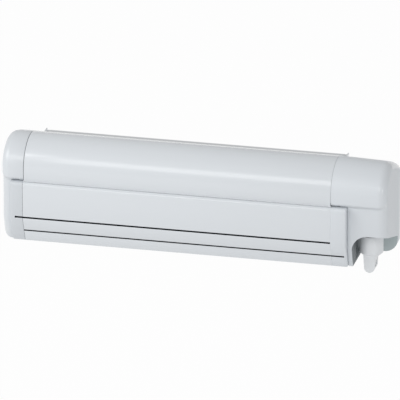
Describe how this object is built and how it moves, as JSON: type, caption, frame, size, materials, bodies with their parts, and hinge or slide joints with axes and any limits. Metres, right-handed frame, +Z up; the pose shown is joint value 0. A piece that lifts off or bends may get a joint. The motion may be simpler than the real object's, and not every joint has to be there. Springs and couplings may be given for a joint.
{
  "type": "roll out awning",
  "caption": "Closed cassette roll-out awning: crowned case with end caps, tall lead bar, folding arms, roller, geared winch eye, stowed support legs and wall rail.",
  "frame": {"origin": "on the wall plane, in the middle of the wall rail's bolt pattern, halfway along the case", "axes": "+X along the case to the winch end, +Y back into the vehicle's wall, +Z up"},
  "size_m": [0.4655, 0.113, 0.1357],
  "materials": {
    "case_paint": "smooth semi-gloss powder coat",
    "lead_bar_paint": "smooth semi-gloss powder coat",
    "cap_plastic": "moulded satin plastic",
    "eye_plastic": "moulded satin plastic",
    "rail_aluminium": "satin anodised",
    "black_rubber": "matt",
    "pale_seal": "matt",
    "awning_fabric": "coated woven cloth",
    "bead_plastic": "matt",
    "steel": "bright",
    "bronze": "cut teeth",
    "bare_aluminium": "mill finish",
    "arm_paint": "powder coat",
    "arm_casting": "painted casting",
    "grey_plastic": "matt"
  },
  "bodies": {
    "root": {"wall_rail": "rail_aluminium", "left_rail_end": "rail_aluminium", "right_rail_end": "rail_aluminium", "case_profile": "case_paint", "left_end_cap": "cap_plastic", "right_end_cap": "cap_plastic", "left_shoulder_bracket": "arm_casting", "right_shoulder_bracket": "arm_casting", "left_shoulder_pin": "steel", "right_shoulder_pin": "steel", "left_roller_bearing": "grey_plastic", "gearbox_housing": "bare_aluminium", "gearbox_cover": "bare_aluminium", "mouth_seal": "pale_seal", "floor_seal": "black_rubber", "gearbox_screws": "steel", "left_cap_gasket": "black_rubber", "right_cap_gasket": "black_rubber"},
    "roller": {"roller_tube": "bare_aluminium", "left_roller_plug": "grey_plastic", "right_roller_plug": "grey_plastic", "worm_wheel": "bronze", "fabric_roll": "awning_fabric"},
    "winch": {"worm_shaft": "steel", "winch_eye": "eye_plastic"},
    "left_upper_arm": {"left_upper_arm_tube": "arm_paint", "left_shoulder_knuckle": "arm_casting", "left_elbow_fork": "arm_casting", "left_elbow_pin": "steel", "left_arm_spring": "steel"},
    "left_forearm": {"left_forearm_tube": "arm_paint", "left_elbow_tongue": "arm_casting", "left_wrist_knuckle": "arm_casting"},
    "right_upper_arm": {"right_upper_arm_tube": "arm_paint", "right_shoulder_knuckle": "arm_casting", "right_elbow_fork": "arm_casting", "right_elbow_pin": "steel", "right_arm_spring": "steel"},
    "right_forearm": {"right_forearm_tube": "arm_paint", "right_elbow_tongue": "arm_casting", "right_wrist_knuckle": "arm_casting"},
    "lead_bar": {"lead_bar_profile": "lead_bar_paint", "left_bar_cap": "cap_plastic", "right_bar_cap": "cap_plastic", "upper_groove_strip": "black_rubber", "lower_groove_strip": "black_rubber", "fabric_bead": "bead_plastic", "left_wrist_bracket": "arm_casting", "right_wrist_bracket": "arm_casting", "left_wrist_pin": "steel", "right_wrist_pin": "steel", "left_leg_hinge": "arm_casting", "right_leg_hinge": "arm_casting"},
    "canopy": {"canopy_fabric": "awning_fabric"},
    "left_leg": {"left_leg_tube": "bare_aluminium"},
    "left_leg_slider": {"left_leg_inner": "bare_aluminium", "left_leg_foot": "grey_plastic"},
    "right_leg": {"right_leg_tube": "bare_aluminium"},
    "right_leg_slider": {"right_leg_inner": "bare_aluminium", "right_leg_foot": "grey_plastic"}
  },
  "joints": [
    {"name": "left_shoulder_fold", "type": "hinge", "parent": "root", "child": "left_upper_arm", "pos_m": [-0.158, -0.0276, 0], "axis": [0, 0, -1], "range_deg": [0, 70]},
    {"name": "left_elbow_fold", "type": "hinge", "parent": "left_upper_arm", "child": "left_forearm", "pos_m": [-0.01558, -0.04888, 0], "axis": [0, 0, 1], "range_deg": [0, 140]},
    {"name": "left_wrist_fold", "type": "hinge", "parent": "left_forearm", "child": "lead_bar", "pos_m": [-0.158, -0.07017, 0], "axis": [0, 0, -1], "range_deg": [0, 70]},
    {"name": "right_shoulder_fold", "type": "hinge", "parent": "root", "child": "right_upper_arm", "pos_m": [0.158, -0.0276, 0], "axis": [0, 0, 1], "range_deg": [0, 70]},
    {"name": "right_elbow_fold", "type": "hinge", "parent": "right_upper_arm", "child": "right_forearm", "pos_m": [0.01558, -0.04888, 0], "axis": [0, 0, -1], "range_deg": [0, 140]},
    {"name": "roller_turn", "type": "hinge", "parent": "root", "child": "roller", "pos_m": [0, -0.048, 0.02], "axis": [-1, 0, 0], "range_deg": [0, 474]},
    {"name": "winch_turn", "type": "hinge", "parent": "root", "child": "winch", "pos_m": [0.22751, -0.073, 0], "axis": [0, 0, -1], "range_deg": [0, 8523]},
    {"name": "canopy_reach", "type": "slide", "parent": "root", "child": "canopy", "axis": [0, -1, 0], "range_m": [0, 0.2397], "deforming": ["canopy_fabric"]},
    {"name": "left_leg_swing", "type": "hinge", "parent": "lead_bar", "child": "left_leg", "pos_m": [-0.176, -0.0909, -0.047], "axis": [0, 1, 0], "range_deg": [0, 90]},
    {"name": "left_leg_extend", "type": "slide", "parent": "left_leg", "child": "left_leg_slider", "axis": [1, 0, 0], "range_m": [0, 0.08]},
    {"name": "right_leg_swing", "type": "hinge", "parent": "lead_bar", "child": "right_leg", "pos_m": [0.176, -0.0909, -0.047], "axis": [0, -1, 0], "range_deg": [0, 90]},
    {"name": "right_leg_extend", "type": "slide", "parent": "right_leg", "child": "right_leg_slider", "axis": [-1, 0, 0], "range_m": [0, 0.08]}
  ],
  "couplings": [
    {"joint": "left_elbow_fold", "follows": "left_shoulder_fold", "ratio": 2},
    {"joint": "left_wrist_fold", "follows": "left_shoulder_fold", "ratio": 1},
    {"joint": "right_shoulder_fold", "follows": "left_shoulder_fold", "ratio": 1},
    {"joint": "right_elbow_fold", "follows": "left_shoulder_fold", "ratio": 2},
    {"joint": "roller_turn", "follows": "left_shoulder_fold", "ratio": 6.7641},
    {"joint": "winch_turn", "follows": "left_shoulder_fold", "ratio": 121.75},
    {"joint": "canopy_reach", "follows": "left_shoulder_fold", "m_per_rad": 0.19616}
  ]
}
